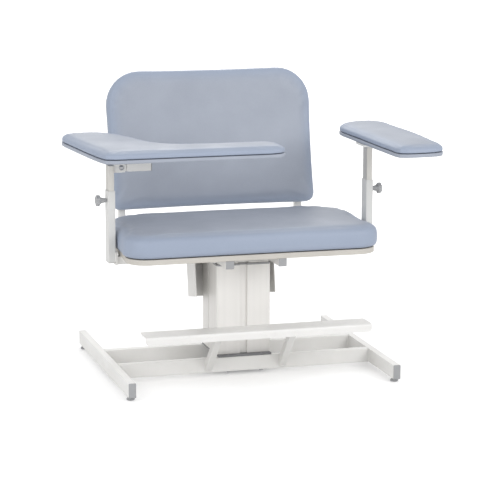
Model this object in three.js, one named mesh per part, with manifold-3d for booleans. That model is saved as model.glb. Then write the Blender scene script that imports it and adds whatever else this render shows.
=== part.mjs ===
// Phlebotomy chair: a wide seat on a lifting column, with one straight arm and one flip-up L-shaped arm.
// Millimetres, +Z up. The sitter faces -Y, and the right-hand side of a person facing the chair is +X.
// Every piece is placed from the middle of the floor frame, and the whole chair is centred at the end.
import * as THREE from 'three';
import { mergeVertices } from 'three/addons/utils/BufferGeometryUtils.js';
import Module from 'manifold-3d';

const wasm = await Module();
wasm.setup();

// Clearances shared by the whole chair
const weldGap = 0.3;
const runningGap = 0.3;
const cutOverrun = 5;

// Steel tube of the floor frame and of the arm sleeves
const tubeWide = 25.4;
const tubeHigh = 50.8;
const tubeWall = 2;
const tubeCorner = 2.5;

// Floor frame
const runnerLength = 812.8;
const frameWide = 970;
const runnerLift = 12.7;
const frontTubeY = -129.5;
const rearTubeY = 88.9;
const capThick = 3.5;
const capRound = 1.2;
const plugLong = 16;
const plugWall = 1.6;
const glideRadius = 14;
const glideThick = 7;
const glideRound = 2;
const glideNeckRadius = 7;
const glideStemRadius = 4.8;
const glideStemLong = 10;
const glideEndGap = 12;

// Footrest
const treadLong = 812;
const treadDeep = 97;
const treadTop = 198;
const treadLip = 28;
const treadRearLip = 16;
const treadRearCorner = 18;
const treadLipCorner = 13;
const treadEdge = 8;
const treadSheet = 2.5;
const treadFrontY = -330;
const strutSpread = 270;
const strutTube = 25.4;
const strutFootHeight = 38;
const strutHeadInset = 40;

// Lifting column
const columnWide = 197;
const columnDeep = 195.6;
const columnY = -18;
const columnHigh = 318;
const columnCorner = 8;
const columnInnerCorner = 1.5;
const columnWall = 4;
const stageGap = 1.5;
const innerWall = 4;
const grooveWide = 27;
const grooveDeep = 8;
const sideGrooveWide = 5;
const sideGrooveDeep = 2.5;
const sideGrooveY = 15;
const collarThick = 6;
const stageRestGap = 5;
const stageFootGap = 10;
const footPlateThick = 6.35;
const footPlateInset = 1.5;
const footPlateOverhang = 8;
const footBoltSpread = 120;
const footBoltRadius = 4;
const footBoltHead = 7;
const footBoltHeadThick = 5;
const topPlateWide = 232;
const topPlateDeep = 180;
const topPlateThick = 10;
const topPlateCorner = 10;

// Actuator inside the column
const pushRodRadius = 15;
const pushTubeWall = 5;
const pushTubeHigh = 255;
const gearboxHigh = 38;
const motorRadius = 27;
const motorHigh = 120;
const motorSpacing = 62;
const rodFootGap = 12;

// Seat frame
const seatTube = 28.6;
const seatTubeWall = 2;
const seatTubeSpread = 189.4;
const seatTubeFrontY = -274;
const armPlateThick = 6;
const armPlateRise = 46;
const guardSpread = 294.6;
const guardSheet = 2.5;
const guardFrontY = 12;
const guardRearY = 131;
const guardLow = 260;
const guardLeanDegrees = 10;
const guardCorner = 10;

// Seat
const seatWide = 922;
const seatDeep = 493;
const seatY = -50.8;
const seatFrontCorner = 86;
const seatRearCorner = 170;
const seatBoardThick = 19;
const seatBoardInset = 14;
const boardRound = 2;
const seatThick = 78;
const seatCrown = 9;
const seatSideDrawIn = 8;
const seatFrontDrawIn = 3;

// Back
const backWide = 777;
const backHigh = 510;
const backTopCorner = 127;
const backBottomCorner = 34;
const backThick = 54;
const backCrown = 12;
const backDrawIn = 3;
const backBoardThick = 15;
const backBoardInset = 9;
const backY = 306;
const backZ = 526;
const reclineDegrees = 11;
const uprightTube = 25.4;
const uprightSpread = 675.6;
const uprightRise = 350;

// Arms
const armSpread = 939.8;
const armY = -79.5;
const sleeveBottom = 416.6;
const sleeveTop = 669.3;
const knobHeight = 635;
const postGapX = 0.4;
const postGapY = 0.7;
const postWall = 1.8;
const postInSleeve = 151;
const padUnderside = 797.6;
const padBoardThick = 12.7;
const padBoardInset = 1.5;
const padThick = 25.4;
const padPlateThick = 6.4;
const padPlateWide = 60;
const padPlateLong = 100;
const flipPlateLong = 66;
const padPlateCorner = 8;
const screwEdge = 12;
const screwRadius = 2.5;

// Straight right pad, and the L-shaped left pad
const straightPadWide = 207;
const straightPadLong = 715;
const straightPadReach = 645;
const straightPadFrontY = -459;
const cornerPadWide = 691;
const cornerPadLong = 549;
const cornerPadReach = 593;
const cornerPadFrontY = -341;

// Flip-up hinge of the left arm
const pivotInboard = 38.1;
const pivotBelowPad = 49.6;
const postTopAbovePivot = 9;
const earRadius = 17;
const earThick = 4;
const tongueThick = 16;
const tongueRadius = 13.7;
const hingePlateThick = 5;
const hingeFloorThick = 3;
const pivotBoltRadius = 5;
const boltHeadRadius = 9;
const boltHeadThick = 5.5;
const boltHeadRim = 1.8;
const boltHeadFlat = 4.5;
const nutRadius = 9.5;
const nutThick = 8;
const barStart = 22.8;
const barLong = 82;
const flipBarHigh = 58;
const barEndPlate = 4;

// Clamp knobs
const studRadius = 4;
const hubGap = 0.5;
const hubLong = 23;
const hubTipRadius = 7;
const hubRootRadius = 10.5;
const knobRadius = 17.5;
const knobLobe = 1.8;
const knobLobes = 6;
const knobThick = 15;
const knobRound = 2.5;

// Facets
const smallFacets = 1;
const cornerFacets = 3;
const roundFacets = 20;
const cushionCornerSteps = 8;
const cushionSideSteps = 6;
const padSteps = 60;
const bendSteps = 3;
const stepsPerLobe = 8;
const hexagonSides = 6;
const earFacets = roundFacets / 2;

// Heights that follow from the sizes above
const runnerTop = runnerLift + tubeHigh;
const columnBottom = runnerTop + footPlateThick;
const columnTop = columnBottom + columnHigh;
const stageTop = columnTop + collarThick + stageRestGap;
const seatTubeBottom = stageTop + topPlateThick;
const seatTubeMiddle = seatTubeBottom + seatTube / 2;
const boardUnderside = seatTubeBottom + seatTube;
const seatUnderside = boardUnderside + seatBoardThick;
const runnerX = (frameWide - tubeWide) / 2;
const crossTubeLong = frameWide - 2 * (tubeWide + weldGap);
const postWide = tubeWide - 2 * (tubeWall + postGapX);
const postDeep = tubeHigh - 2 * (tubeWall + postGapY);
const armX = armSpread / 2;
const recline = THREE.MathUtils.degToRad(reclineDegrees);
const guardLean = THREE.MathUtils.degToRad(guardLeanDegrees);
const guardRearLow = guardLow - (guardRearY - guardFrontY) * Math.tan(guardLean);
const quarterTurn = Math.PI / 2;

// Finishes
const palePaint = new THREE.MeshStandardMaterial({ color: 0xd9d8d3, roughness: 0.45, metalness: 0.3 });
const columnMetal = new THREE.MeshStandardMaterial({ color: 0xe3e1dc, roughness: 0.4, metalness: 0.5 });
const blackPlastic = new THREE.MeshStandardMaterial({ color: 0x26282b, roughness: 0.7, metalness: 0 });
const greyPlastic = new THREE.MeshStandardMaterial({ color: 0x55585c, roughness: 0.6, metalness: 0 });
const palePlastic = new THREE.MeshStandardMaterial({ color: 0xc9c8c3, roughness: 0.6, metalness: 0 });
const brightSteel = new THREE.MeshStandardMaterial({ color: 0xa9acae, roughness: 0.35, metalness: 0.9 });
const laminate = new THREE.MeshStandardMaterial({ color: 0xdcdad2, roughness: 0.5, metalness: 0 });
const blueVinyl = new THREE.MeshStandardMaterial({ color: 0x7d8ea8, roughness: 0.5, metalness: 0 });

const chair = new THREE.Group();

// Adds one named piece, with a material of its own, at a place and a turn.
function addPiece(name, geometry, material, place = [0, 0, 0], turn = [0, 0, 0], parent = chair) {
  const mesh = new THREE.Mesh(geometry, material.clone());
  mesh.name = name;
  mesh.position.set(...place);
  mesh.rotation.set(...turn);
  parent.add(mesh);
  return mesh;
}

// Turns a geometry into a solid that can be joined and cut.
function toSolid(geometry) {
  const bare = geometry.clone();
  bare.deleteAttribute('normal');
  bare.deleteAttribute('uv');
  const merged = mergeVertices(bare);
  return new wasm.Manifold(new wasm.Mesh({
    numProp: 3,
    vertProperties: new Float32Array(merged.attributes.position.array),
    triVerts: new Uint32Array(merged.index.array),
  }));
}

// Turns a solid back into a geometry.
function toGeometry(solid) {
  const mesh = solid.getMesh();
  const geometry = new THREE.BufferGeometry();
  geometry.setAttribute('position', new THREE.BufferAttribute(new Float32Array(mesh.vertProperties), 3));
  geometry.setIndex(new THREE.BufferAttribute(new Uint32Array(mesh.triVerts), 1));
  geometry.computeVertexNormals();
  return geometry;
}

function join(...geometries) {
  return toGeometry(geometries.map(toSolid).reduce((whole, piece) => whole.add(piece)));
}

function cut(geometry, ...tools) {
  return toGeometry(tools.map(toSolid).reduce((whole, tool) => whole.subtract(tool), toSolid(geometry)));
}

function roundedRectangle(wide, high, radius) {
  const x = wide / 2 - radius;
  const y = high / 2 - radius;
  const shape = new THREE.Shape();
  shape.absarc(x, y, radius, 0, quarterTurn, false);
  shape.absarc(-x, y, radius, quarterTurn, 2 * quarterTurn, false);
  shape.absarc(-x, -y, radius, 2 * quarterTurn, 3 * quarterTurn, false);
  shape.absarc(x, -y, radius, 3 * quarterTurn, 4 * quarterTurn, false);
  return shape;
}

// Round hole for a flat shape, its middle at a place.
function roundHole(x, y, radius) {
  return new THREE.Path().absarc(x, y, radius, 0, 4 * quarterTurn, true);
}

function extrude(shape, depth, facets = cornerFacets) {
  return new THREE.ExtrudeGeometry(shape, { depth, bevelEnabled: false, curveSegments: facets });
}

// Extrudes a shape to a full thickness with both of its rims rounded over.
function extrudeRounded(shape, thick, round, facets = cornerFacets) {
  const geometry = new THREE.ExtrudeGeometry(shape, {
    depth: thick - 2 * round,
    bevelThickness: round,
    bevelSize: round,
    bevelOffset: -round,
    bevelSegments: 2,
    curveSegments: facets,
  });
  return geometry.translate(0, 0, round);
}

function box(low, high) {
  const size = high.map((value, axis) => value - low[axis]);
  const middle = high.map((value, axis) => (value + low[axis]) / 2);
  return new THREE.BoxGeometry(...size).translate(...middle);
}

// Round rod along +Z from the origin.
function rod(radius, long) {
  const upright = new THREE.CylinderGeometry(radius, radius, long, roundFacets).rotateX(quarterTurn);
  return upright.translate(0, 0, long / 2);
}

// Hollow rectangular tube along +Z from the origin, open at both ends.
function boxTube(wide, high, wall, long) {
  const shape = roundedRectangle(wide, high, tubeCorner);
  shape.holes.push(roundedRectangle(wide - 2 * wall, high - 2 * wall, tubeCorner / 2));
  return extrude(shape, long, smallFacets);
}

// The same tube with a plate welded over its far end.
function closedTube(wide, high, wall, long) {
  const plate = extrude(roundedRectangle(wide, high, tubeCorner), wall, smallFacets);
  return join(boxTube(wide, high, wall, long - wall), plate.translate(0, 0, long - wall));
}

// Moulded cap for a tube's end: its head stands on +Z, and its hollow plug reaches into the tube.
function endCap(wide, high, wall) {
  const head = extrudeRounded(roundedRectangle(wide, high, tubeCorner), capThick, capRound, smallFacets);
  const plugWide = wide - 2 * (wall + runningGap);
  const plugHigh = high - 2 * (wall + runningGap);
  const plug = roundedRectangle(plugWide, plugHigh, tubeCorner / 2);
  plug.holes.push(roundedRectangle(plugWide - 2 * plugWall, plugHigh - 2 * plugWall, tubeCorner / 2));
  const plugBody = extrude(plug, plugLong + capRound, smallFacets).translate(0, 0, -plugLong);
  return join(head, plugBody);
}

// Skins a stack of loops with equal counts of points, and closes the first and the last.
function loft(loops) {
  const count = loops[0].length;
  const points = loops.flat();
  const faces = [];
  for (let row = 0; row < loops.length - 1; row += 1) {
    for (let i = 0; i < count; i += 1) {
      const next = (i + 1) % count;
      const a = row * count + i;
      const b = row * count + next;
      faces.push(a, b, b + count, a, b + count, a + count);
    }
  }
  const closeLoop = (row, flip) => {
    const flat = loops[row].map((point) => new THREE.Vector2(point.x, point.y));
    for (const [a, b, c] of THREE.ShapeUtils.triangulateShape(flat, [])) {
      const order = flip ? [a, c, b] : [a, b, c];
      faces.push(...order.map((index) => row * count + index));
    }
  };
  closeLoop(0, true);
  closeLoop(loops.length - 1, false);
  const geometry = new THREE.BufferGeometry().setFromPoints(points);
  geometry.setIndex(faces);
  geometry.computeVertexNormals();
  return geometry;
}

// Moves a closed outline inwards by a distance, along the normal of each of its points.
function insetOutline(outline, distance) {
  const count = outline.length;
  return outline.map((point, i) => {
    const before = outline[(i + count - 1) % count];
    const after = outline[(i + 1) % count];
    const along = after.clone().sub(before).normalize();
    return new THREE.Vector2(point.x - along.y * distance, point.y + along.x * distance);
  });
}

function ringAt(outline, height) {
  return outline.map((point) => new THREE.Vector3(point.x, point.y, height));
}

// Rounded rectangle as points, whose sides are drawn in between the corners.
function cushionOutline(wide, deep, frontRadius, rearRadius, sideDrawIn, frontDrawIn) {
  const outline = [];
  const corners = [
    [wide / 2, -deep / 2, frontRadius, -1, 1],
    [wide / 2, deep / 2, rearRadius, -1, -1],
    [-wide / 2, deep / 2, rearRadius, 1, -1],
    [-wide / 2, -deep / 2, frontRadius, 1, 1],
  ];
  corners.forEach(([x, y, radius, towardsX, towardsY], index) => {
    const centre = new THREE.Vector2(x + towardsX * radius, y + towardsY * radius);
    for (let step = 0; step <= cushionCornerSteps; step += 1) {
      const angle = quarterTurn * (index - 1 + step / cushionCornerSteps);
      outline.push(new THREE.Vector2(Math.cos(angle), Math.sin(angle)).multiplyScalar(radius).add(centre));
    }
    const [nextX, nextY, nextRadius, nextTowardsX, nextTowardsY] = corners[(index + 1) % corners.length];
    const nextCentre = new THREE.Vector2(nextTowardsX, nextTowardsY).multiplyScalar(nextRadius);
    nextCentre.add(new THREE.Vector2(nextX, nextY));
    const sideAngle = quarterTurn * index;
    const outward = new THREE.Vector2(Math.cos(sideAngle), Math.sin(sideAngle));
    const start = centre.clone().addScaledVector(outward, radius);
    const end = nextCentre.clone().addScaledVector(outward, nextRadius);
    const drawIn = index % 2 === 0 ? sideDrawIn : frontDrawIn;
    for (let step = 1; step < cushionSideSteps; step += 1) {
      const share = step / cushionSideSteps;
      const point = start.clone().lerp(end, share);
      outline.push(point.addScaledVector(outward, -drawIn * Math.sin(Math.PI * share)));
    }
  });
  return outline;
}

// Upholstered form: a flat foot, swelling sides, a rounded rim and a crown that falls towards every side.
// The rim's shares are [inset, height], both as shares of the thickness.
const cushionRimShares = [
  [0.1, 0], [0.03, 0.06], [0, 0.28], [0, 0.58], [0.03, 0.78], [0.1, 0.91], [0.2, 0.98], [0.33, 1],
];
const crownScaleShares = [0.86, 0.7, 0.52, 0.34, 0.16];

function crownedCushion(outline, thick, crown) {
  const rimRing = ([inset, height]) => ringAt(insetOutline(outline, inset * thick), height * thick);
  const rings = cushionRimShares.map(rimRing);
  const rim = rings[rings.length - 1];
  const halfWide = Math.max(...rim.map((point) => point.x));
  const halfDeep = Math.max(...rim.map((point) => point.y));
  for (const scale of crownScaleShares) {
    rings.push(rim.map((point) => {
      const x = point.x * scale;
      const y = point.y * scale;
      const rise = crown * (1 - (x / halfWide) ** 2) * (1 - (y / halfDeep) ** 2);
      return new THREE.Vector3(x, y, thick + rise);
    }));
  }
  return loft(rings);
}

// Arm pad: the same rim on a free outline, and a low crown that ends in a flat top.
const padRimShares = [
  [0.1, 0], [0.02, 0.12], [0, 0.35], [0.03, 0.6], [0.14, 0.82], [0.32, 0.94], [0.6, 1],
];

function armPad(outline) {
  const rimRing = ([inset, height]) => ringAt(insetOutline(outline, inset * padThick), height * padThick);
  return loft(padRimShares.map(rimRing));
}

// Smooth closed outline through points given as shares of its width and its length.
function freeOutline(shares, wide, long) {
  const points = shares.map(([x, y]) => new THREE.Vector3(x * wide, y * long, 0));
  const curve = new THREE.CatmullRomCurve3(points, true, 'centripetal');
  const spaced = curve.getSpacedPoints(padSteps).slice(0, padSteps);
  return spaced.map((point) => new THREE.Vector2(point.x, point.y));
}

// Floor frame
function addFloorFrame() {
  const capSpots = [['rear', runnerLength / 2, -quarterTurn], ['front', -runnerLength / 2, quarterTurn]];
  for (const [side, sideName] of [[-1, 'left'], [1, 'right']]) {
    const x = side * runnerX;
    const tube = boxTube(tubeWide, tubeHigh, tubeWall, runnerLength);
    tube.rotateX(-quarterTurn).translate(0, -runnerLength / 2, tubeHigh / 2);
    const glideY = runnerLength / 2 - glideEndGap - glideRadius;
    const holes = [-glideY, glideY].map((y) => rod(glideStemRadius + runningGap, cutOverrun + tubeWall)
      .translate(0, y, -cutOverrun));
    addPiece(`${sideName}_runner`, cut(tube, ...holes), palePaint, [x, 0, runnerLift]);
    for (const [endName, y, turn] of capSpots) {
      const cap = endCap(tubeWide, tubeHigh, tubeWall);
      const capPlace = [x, y, runnerLift + tubeHigh / 2];
      addPiece(`${sideName}_${endName}_runner_cap`, cap, blackPlastic, capPlace, [turn, 0, 0]);
      const glidePlace = [x, Math.sign(y) * glideY, 0];
      addPiece(`${sideName}_${endName}_glide`, glide(), blackPlastic, glidePlace);
    }
  }
  const boltHoles = [-1, 1].map((side) => rod(footBoltRadius + runningGap, tubeHigh + 2 * cutOverrun)
    .translate(side * footBoltSpread / 2, 0, -tubeHigh / 2 - cutOverrun));
  for (const [name, y] of [['front_cross_tube', frontTubeY], ['rear_cross_tube', rearTubeY]]) {
    const tube = boxTube(tubeHigh, tubeWide, tubeWall, crossTubeLong);
    tube.rotateY(quarterTurn).translate(-crossTubeLong / 2, 0, 0);
    addPiece(name, cut(tube, ...boltHoles), palePaint, [0, y, runnerLift + tubeHigh / 2]);
  }
}

// Glide: a low round foot, a neck up to the runner and a stem in the runner's hole.
function glide() {
  const profile = [
    [0, 0], [glideRadius - glideRound, 0], [glideRadius, glideRound], [glideRadius, glideThick],
    [glideNeckRadius, glideThick + glideRound], [glideNeckRadius, runnerLift], [glideStemRadius, runnerLift],
    [glideStemRadius, runnerLift + glideStemLong], [0, runnerLift + glideStemLong],
  ];
  const points = profile.map(([radius, height]) => new THREE.Vector2(radius, height));
  return new THREE.LatheGeometry(points, roundFacets).rotateX(quarterTurn);
}

// Fold of the tread, round the corner at a place: an outer bend, or the inner one of the same sheet.
function treadBend(shape, y, radius, start, clockwise) {
  const end = clockwise ? start - quarterTurn : start + quarterTurn;
  shape.absarc(y, -treadEdge, radius, start, end, clockwise);
}

// Footrest: a folded tread with a lip in front and a shorter one behind, on two slanting struts.
function addFootrest() {
  const bendY = treadDeep / 2 - treadEdge;
  const section = new THREE.Shape();
  section.moveTo(-treadDeep / 2, -treadLip);
  section.lineTo(-treadDeep / 2 + treadSheet, -treadLip);
  treadBend(section, -bendY, treadEdge - treadSheet, 2 * quarterTurn, true);
  treadBend(section, bendY, treadEdge - treadSheet, quarterTurn, true);
  section.lineTo(treadDeep / 2 - treadSheet, -treadRearLip);
  section.lineTo(treadDeep / 2, -treadRearLip);
  treadBend(section, bendY, treadEdge, 0, false);
  treadBend(section, -bendY, treadEdge, quarterTurn, false);
  const sheet = extrude(section, treadLong, bendSteps).rotateX(quarterTurn).rotateZ(quarterTurn);
  sheet.translate(-treadLong / 2, 0, 0);
  const plan = extrude(roundedRectangle(treadLong, 2 * treadDeep, treadRearCorner), 2 * treadLip);
  plan.translate(0, -treadDeep / 2, -treadLip);
  const face = extrude(roundedRectangle(treadLong, 2 * treadLip, treadLipCorner), treadDeep);
  face.rotateX(quarterTurn).translate(0, treadDeep / 2, 0);
  const tread = toGeometry(toSolid(sheet).intersect(toSolid(plan)).intersect(toSolid(face)));
  addPiece('footrest_tread', tread, palePaint, [0, treadFrontY + treadDeep / 2, treadTop]);

  const footY = frontTubeY - tubeWide / 2 - weldGap;
  const headY = treadFrontY + strutHeadInset;
  const headZ = treadTop - treadSheet - weldGap;
  const rise = headZ - strutFootHeight;
  const run = footY - headY;
  const slope = Math.atan2(run, rise);
  const long = Math.hypot(run, rise) + 2 * strutTube;
  for (const [side, name] of [[-1, 'left_footrest_strut'], [1, 'right_footrest_strut']]) {
    const tube = boxTube(strutTube, strutTube, tubeWall, long).translate(0, 0, -strutTube);
    tube.rotateX(slope).translate(0, footY, strutFootHeight);
    const keep = box([-strutTube, headY - 2 * strutTube, 0], [strutTube, footY, headZ]);
    const strut = toGeometry(toSolid(tube).intersect(toSolid(keep)));
    addPiece(name, strut, palePaint, [side * strutSpread / 2, 0, 0]);
  }
}

// Section of the column's extrusion, moved inwards by a distance: the grooves run down its front and sides.
function columnSection(inset) {
  const w = columnWide / 2 - inset;
  const d = columnDeep / 2 - inset;
  const r = Math.max(columnCorner - inset, columnInnerCorner);
  const g = grooveWide / 2 + inset;
  const s = sideGrooveWide / 2 + inset;
  const shape = new THREE.Shape();
  shape.moveTo(g, -d);
  shape.lineTo(w - r, -d);
  shape.absarc(w - r, -d + r, r, -quarterTurn, 0, false);
  shape.lineTo(w, sideGrooveY - s);
  shape.lineTo(w - sideGrooveDeep, sideGrooveY - s);
  shape.lineTo(w - sideGrooveDeep, sideGrooveY + s);
  shape.lineTo(w, sideGrooveY + s);
  shape.absarc(w - r, d - r, r, 0, quarterTurn, false);
  shape.absarc(-w + r, d - r, r, quarterTurn, 2 * quarterTurn, false);
  shape.lineTo(-w, sideGrooveY + s);
  shape.lineTo(-w + sideGrooveDeep, sideGrooveY + s);
  shape.lineTo(-w + sideGrooveDeep, sideGrooveY - s);
  shape.lineTo(-w, sideGrooveY - s);
  shape.absarc(-w + r, -d + r, r, 2 * quarterTurn, 3 * quarterTurn, false);
  shape.lineTo(-g, -d);
  shape.lineTo(-g, -d + grooveDeep);
  shape.lineTo(g, -d + grooveDeep);
  return shape;
}

function columnStage(outerInset, innerInset, long) {
  const shape = columnSection(outerInset);
  shape.holes.push(columnSection(innerInset));
  return extrude(shape, long);
}

// Column: a foot plate bolted up through the cross tubes, the outer stage, its collar and the inner stage.
function addColumn() {
  const plateDeep = rearTubeY - frontTubeY + 2 * footPlateOverhang;
  const plateMiddle = (rearTubeY + frontTubeY) / 2;
  const plateSpot = [0, plateMiddle, runnerTop];
  const plateWide = columnWide - 2 * footPlateInset;
  const boltX = footBoltSpread / 2;
  const boltSpots = [-boltX, boltX].flatMap((x) => [[x, frontTubeY], [x, rearTubeY]]);
  const plate = extrude(roundedRectangle(plateWide, plateDeep, tubeCorner), footPlateThick, smallFacets);
  const holeLong = footPlateThick + 2 * cutOverrun;
  const plateHoles = boltSpots.map(([x, y]) => rod(footBoltRadius + runningGap, holeLong)
    .translate(x, y - plateMiddle, -cutOverrun));
  addPiece('column_foot_plate', cut(plate, ...plateHoles), blackPlastic, plateSpot);

  for (const [x, y] of boltSpots) {
    const name = `${x < 0 ? 'left' : 'right'}_${y < 0 ? 'front' : 'rear'}_foot_bolt`;
    addPiece(name, footBolt(), brightSteel, [x, y, runnerLift]);
  }

  const innerInset = columnWall + stageGap;
  const outer = columnStage(0, columnWall, columnHigh);
  addPiece('column_outer_stage', outer, columnMetal, [0, columnY, columnBottom]);
  const collar = columnStage(0, innerInset - runningGap, collarThick);
  addPiece('column_collar', collar, greyPlastic, [0, columnY, columnTop]);
  const stageFoot = columnBottom + stageFootGap;
  const inner = columnStage(innerInset, innerInset + innerWall, stageTop - stageFoot);
  addPiece('column_inner_stage', inner, columnMetal, [0, columnY, stageFoot]);
}

// Hexagon bolt, its head under the tube and its shank up through the foot plate.
function footBolt() {
  const head = new THREE.CylinderGeometry(footBoltHead, footBoltHead, footBoltHeadThick, hexagonSides);
  head.rotateX(quarterTurn).translate(0, 0, -footBoltHeadThick / 2);
  const shank = rod(footBoltRadius, tubeHigh + footPlateThick + footBoltHeadThick - weldGap);
  return join(head, shank.translate(0, 0, -footBoltHeadThick));
}

// Actuator: a gearbox and motor on the foot plate, with a tube above and the rod that lifts the seat.
function addActuator() {
  const tubeX = motorSpacing / 2;
  const tubeRadius = pushRodRadius + runningGap + pushTubeWall;
  const gearboxShape = roundedRectangle(motorSpacing + 2 * motorRadius, 2 * motorRadius, motorRadius);
  const gearbox = extrude(gearboxShape, gearboxHigh);
  const motor = rod(motorRadius, motorHigh).translate(-tubeX, 0, gearboxHigh);
  const ring = new THREE.Shape().absarc(0, 0, tubeRadius, 0, 4 * quarterTurn, false);
  ring.holes.push(roundHole(0, 0, pushRodRadius + runningGap));
  const tube = extrude(ring, pushTubeHigh, earFacets).translate(tubeX, 0, gearboxHigh);
  addPiece('lift_actuator', join(gearbox, motor, tube), blackPlastic, [0, columnY, columnBottom]);
  const rodFoot = columnBottom + gearboxHigh + rodFootGap;
  addPiece('actuator_rod', rod(pushRodRadius, stageTop - rodFoot), brightSteel, [tubeX, columnY, rodFoot]);
}

// Centre of the rear rail: behind the back board at the height of the seat tubes.
function uprightCentreY(height) {
  const behind = backBoardThick + uprightTube / 2;
  return backY + behind / Math.cos(recline) + (height - backZ) * Math.tan(recline);
}

// Seat frame: top plate, two long tubes, a rear rail, two outriggers and the guard behind the column.
function addSeatFrame() {
  const plate = extrude(roundedRectangle(topPlateWide, topPlateDeep, topPlateCorner), topPlateThick);
  addPiece('lift_top_plate', plate, palePaint, [0, columnY, stageTop]);

  const railY = uprightCentreY(seatTubeMiddle);
  const tubeLong = railY - seatTube / 2 - weldGap - seatTubeFrontY;
  for (const [side, sideName] of [[-1, 'left'], [1, 'right']]) {
    const x = side * seatTubeSpread / 2;
    const tube = boxTube(seatTube, seatTube, seatTubeWall, tubeLong).rotateX(-quarterTurn);
    addPiece(`${sideName}_seat_tube`, tube, palePaint, [x, seatTubeFrontY, seatTubeMiddle]);
    const cap = endCap(seatTube, seatTube, seatTubeWall);
    const capPlace = [x, seatTubeFrontY, seatTubeMiddle];
    addPiece(`${sideName}_seat_tube_cap`, cap, blackPlastic, capPlace, [quarterTurn, 0, 0]);
    addOutrigger(side, sideName);
    addGuardSide(side, sideName);
  }
  const railLong = uprightSpread - uprightTube;
  const rail = boxTube(seatTube, seatTube, seatTubeWall, railLong).rotateY(quarterTurn);
  addPiece('rear_seat_rail', rail, palePaint, [-railLong / 2, railY, seatTubeMiddle]);
  const guardWide = guardSpread - 2 * guardSheet;
  const guard = box([-guardWide / 2, -guardSheet, guardRearLow], [guardWide / 2, 0, seatTubeBottom]);
  addPiece('rear_column_guard', leanForward(guard), palePaint, [0, guardRearY, 0]);
}

// Outrigger: a square tube from the seat tube out to the plate that the arm sleeve is welded to.
function addOutrigger(side, sideName) {
  const start = (seatTubeSpread + seatTube) / 2 + weldGap;
  const plateFace = armX - tubeWide / 2 - weldGap;
  const long = plateFace - armPlateThick - start;
  const tube = boxTube(seatTube, seatTube, seatTubeWall, long).rotateY(quarterTurn).translate(start, 0, 0);
  const plate = box(
    [plateFace - armPlateThick, -tubeHigh / 2, -seatTube / 2],
    [plateFace, tubeHigh / 2, armPlateRise - seatTube / 2],
  );
  const outrigger = join(tube, plate);
  if (side < 0) outrigger.rotateZ(2 * quarterTurn);
  addPiece(`${sideName}_arm_outrigger`, outrigger, palePaint, [0, armY, seatTubeMiddle]);
}

// Shears a guard sheet so that its lower end stands further forward than its top.
function leanForward(geometry) {
  const shear = new THREE.Matrix4().makeShear(0, 0, 0, 0, 0, Math.tan(guardLean));
  return geometry.translate(0, 0, -boardUnderside).applyMatrix4(shear).translate(0, 0, boardUnderside);
}

// Guard beside the column: its lower edge falls towards the back, square to its leaning edges.
function addGuardSide(side, sideName) {
  const high = boardUnderside - guardLow;
  const deep = guardRearY - guardFrontY;
  const outline = new THREE.Shape();
  outline.moveTo(deep, guardRearLow - guardLow);
  outline.lineTo(deep, high);
  outline.lineTo(0, high);
  outline.absarc(guardCorner, guardCorner, guardCorner, 2 * quarterTurn, 3 * quarterTurn, false);
  const sheet = extrude(outline, guardSheet).rotateX(quarterTurn).rotateZ(quarterTurn);
  sheet.translate(0, guardFrontY, guardLow);
  const x = side > 0 ? guardSpread / 2 - guardSheet : -guardSpread / 2;
  addPiece(`${sideName}_column_guard`, leanForward(sheet), palePaint, [x, 0, 0]);
}

// Seat: a laminated board under an upholstered cushion.
function addSeat() {
  const corners = [seatFrontCorner, seatRearCorner];
  const outline = cushionOutline(seatWide, seatDeep, ...corners, seatSideDrawIn, seatFrontDrawIn);
  const boardShape = new THREE.Shape(insetOutline(outline, seatBoardInset));
  const board = extrudeRounded(boardShape, seatBoardThick, boardRound);
  addPiece('seat_board', board, laminate, [0, seatY, boardUnderside]);
  const cushion = crownedCushion(outline, seatThick, seatCrown);
  addPiece('seat_cushion', cushion, blueVinyl, [0, seatY, seatUnderside + weldGap]);
}

// Back: two uprights, a board and a cushion, leant back together.
function addBack() {
  const back = new THREE.Group();
  back.position.set(0, backY, backZ);
  back.rotation.x = quarterTurn - recline;
  chair.add(back);
  const middle = backHigh / 2;
  const outline = cushionOutline(backWide, backHigh, backBottomCorner, backTopCorner, backDrawIn, backDrawIn);
  const boardShape = new THREE.Shape(insetOutline(outline, backBoardInset));
  const board = extrudeRounded(boardShape, backBoardThick, boardRound);
  addPiece('back_board', board, laminate, [0, middle, -backBoardThick], [0, 0, 0], back);
  const cushion = crownedCushion(outline, backThick, backCrown);
  addPiece('back_cushion', cushion, blueVinyl, [0, middle, weldGap], [0, 0, 0], back);

  const drop = (backZ - seatTubeBottom) / Math.cos(recline);
  for (const [side, name] of [[-1, 'left_back_upright'], [1, 'right_back_upright']]) {
    const tube = closedTube(uprightTube, uprightTube, seatTubeWall, drop + uprightRise).rotateX(-quarterTurn);
    const place = [side * uprightSpread / 2, -drop, -backBoardThick - uprightTube / 2 - weldGap];
    addPiece(name, tube, palePaint, place, [0, 0, 0], back);
  }
}

// Arm sleeve with its lower cap, and the clamp knob that goes through its outer wall.
function addSleeve(side, sideName) {
  const x = side * armX;
  const tubeFoot = sleeveBottom + capThick;
  const tube = boxTube(tubeWide, tubeHigh, tubeWall, sleeveTop - tubeFoot);
  const hole = rod(studRadius + runningGap, tubeWide).rotateY(side * quarterTurn);
  hole.translate(0, 0, knobHeight - tubeFoot);
  addPiece(`${sideName}_arm_sleeve`, cut(tube, hole), palePaint, [x, armY, tubeFoot]);
  const cap = endCap(tubeWide, tubeHigh, tubeWall).rotateX(2 * quarterTurn);
  addPiece(`${sideName}_sleeve_cap`, cap, palePlastic, [x, armY, tubeFoot]);
  const knobPlace = [x + side * (postWide / 2 + runningGap), armY, knobHeight];
  addPiece(`${sideName}_clamp_knob`, clampKnob().rotateY(side * quarterTurn), greyPlastic, knobPlace);
}

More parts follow.
